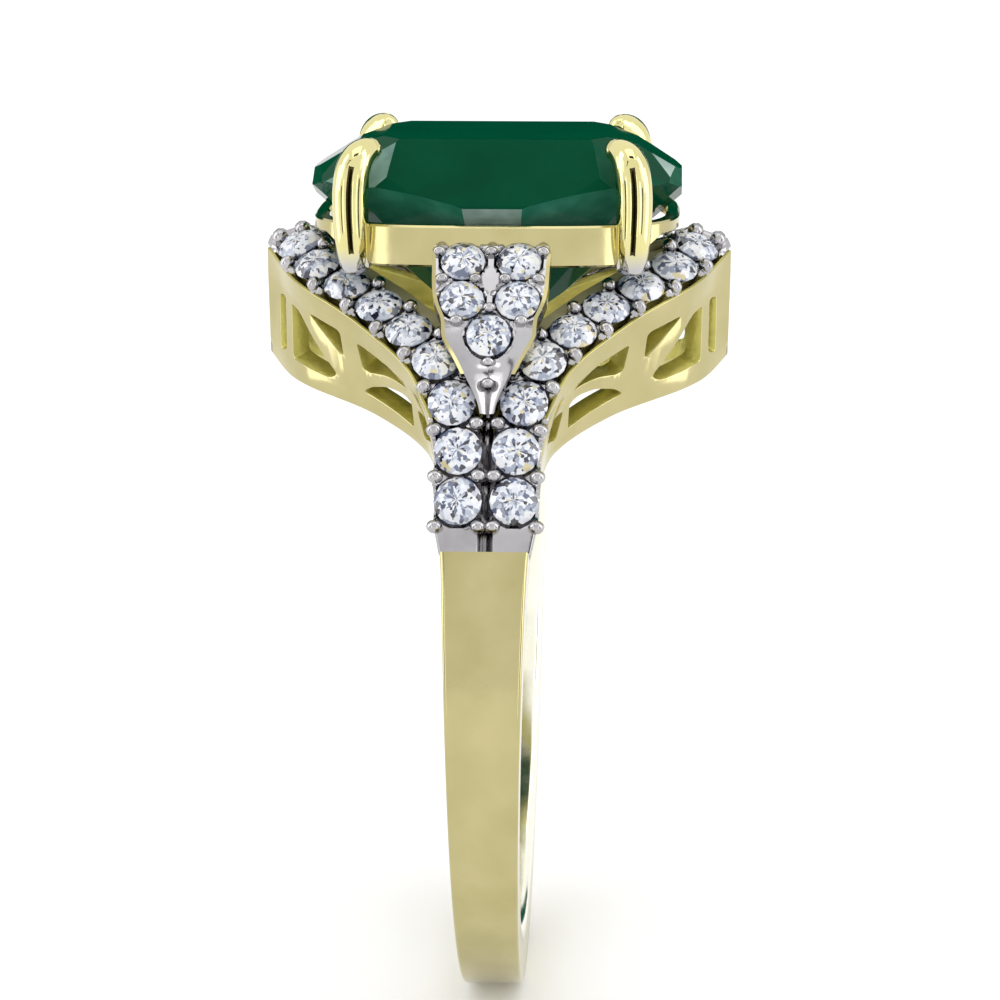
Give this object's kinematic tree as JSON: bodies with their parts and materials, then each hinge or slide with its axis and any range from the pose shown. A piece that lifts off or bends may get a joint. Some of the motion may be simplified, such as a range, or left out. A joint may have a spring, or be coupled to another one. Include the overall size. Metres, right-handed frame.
{
  "type": "cocktail ring",
  "caption": "Finger ring with a large green cushion-cut stone in a four-claw basket over openwork walls and split stone-set shoulders.",
  "frame": {"origin": "centre of the finger hole, midway between the shank's two flat sides", "axes": "+X along the finger hole's axis and the centre stone's long side, +Z from the hole's centre up through the centre stone, -Y towards the face of the shank that is called front"},
  "size_m": [0.014, 0.0206, 0.0263],
  "materials": {
    "yellow_gold": "polished yellow gold",
    "white_gold": "polished rhodium-plated white gold",
    "clear_stone": "faceted clear stone",
    "green_stone": "faceted deep green stone"
  },
  "bodies": {
    "root": {"shank": "yellow_gold", "gallery_wall_left": "yellow_gold", "gallery_wall_right": "yellow_gold", "pave_rail_left": "white_gold", "pave_rail_right": "white_gold", "keystone_front": "white_gold", "keystone_back": "white_gold", "basket_rail": "yellow_gold", "centre_stone": "green_stone", "claw_front_left": "yellow_gold", "claw_front_right": "yellow_gold", "claw_back_left": "yellow_gold", "claw_back_right": "yellow_gold", "stone_front_left_1": "clear_stone", "stone_front_left_2": "clear_stone", "stone_front_left_3": "clear_stone", "stone_front_left_4": "clear_stone", "stone_front_left_5": "clear_stone", "stone_front_left_6": "clear_stone", "stone_front_left_7": "clear_stone", "stone_front_left_8": "clear_stone", "stone_front_left_9": "clear_stone", "stone_front_right_1": "clear_stone", "stone_front_right_2": "clear_stone", "stone_front_right_3": "clear_stone", "stone_front_right_4": "clear_stone", "stone_front_right_5": "clear_stone", "stone_front_right_6": "clear_stone", "stone_front_right_7": "clear_stone", "stone_front_right_8": "clear_stone", "stone_front_right_9": "clear_stone", "stone_front_keystone_1": "clear_stone", "stone_front_keystone_2": "clear_stone", "stone_front_keystone_3": "clear_stone", "stone_front_keystone_4": "clear_stone", "stone_front_keystone_5": "clear_stone", "stone_back_left_1": "clear_stone", "stone_back_left_2": "clear_stone", "stone_back_left_3": "clear_stone", "stone_back_left_4": "clear_stone", "stone_back_left_5": "clear_stone", "stone_back_left_6": "clear_stone", "stone_back_left_7": "clear_stone", "stone_back_left_8": "clear_stone", "stone_back_left_9": "clear_stone", "stone_back_right_1": "clear_stone", "stone_back_right_2": "clear_stone", "stone_back_right_3": "clear_stone", "stone_back_right_4": "clear_stone", "stone_back_right_5": "clear_stone", "stone_back_right_6": "clear_stone", "stone_back_right_7": "clear_stone", "stone_back_right_8": "clear_stone", "stone_back_right_9": "clear_stone", "stone_back_keystone_1": "clear_stone", "stone_back_keystone_2": "clear_stone", "stone_back_keystone_3": "clear_stone", "stone_back_keystone_4": "clear_stone", "stone_back_keystone_5": "clear_stone"}
  },
  "joints": []
}
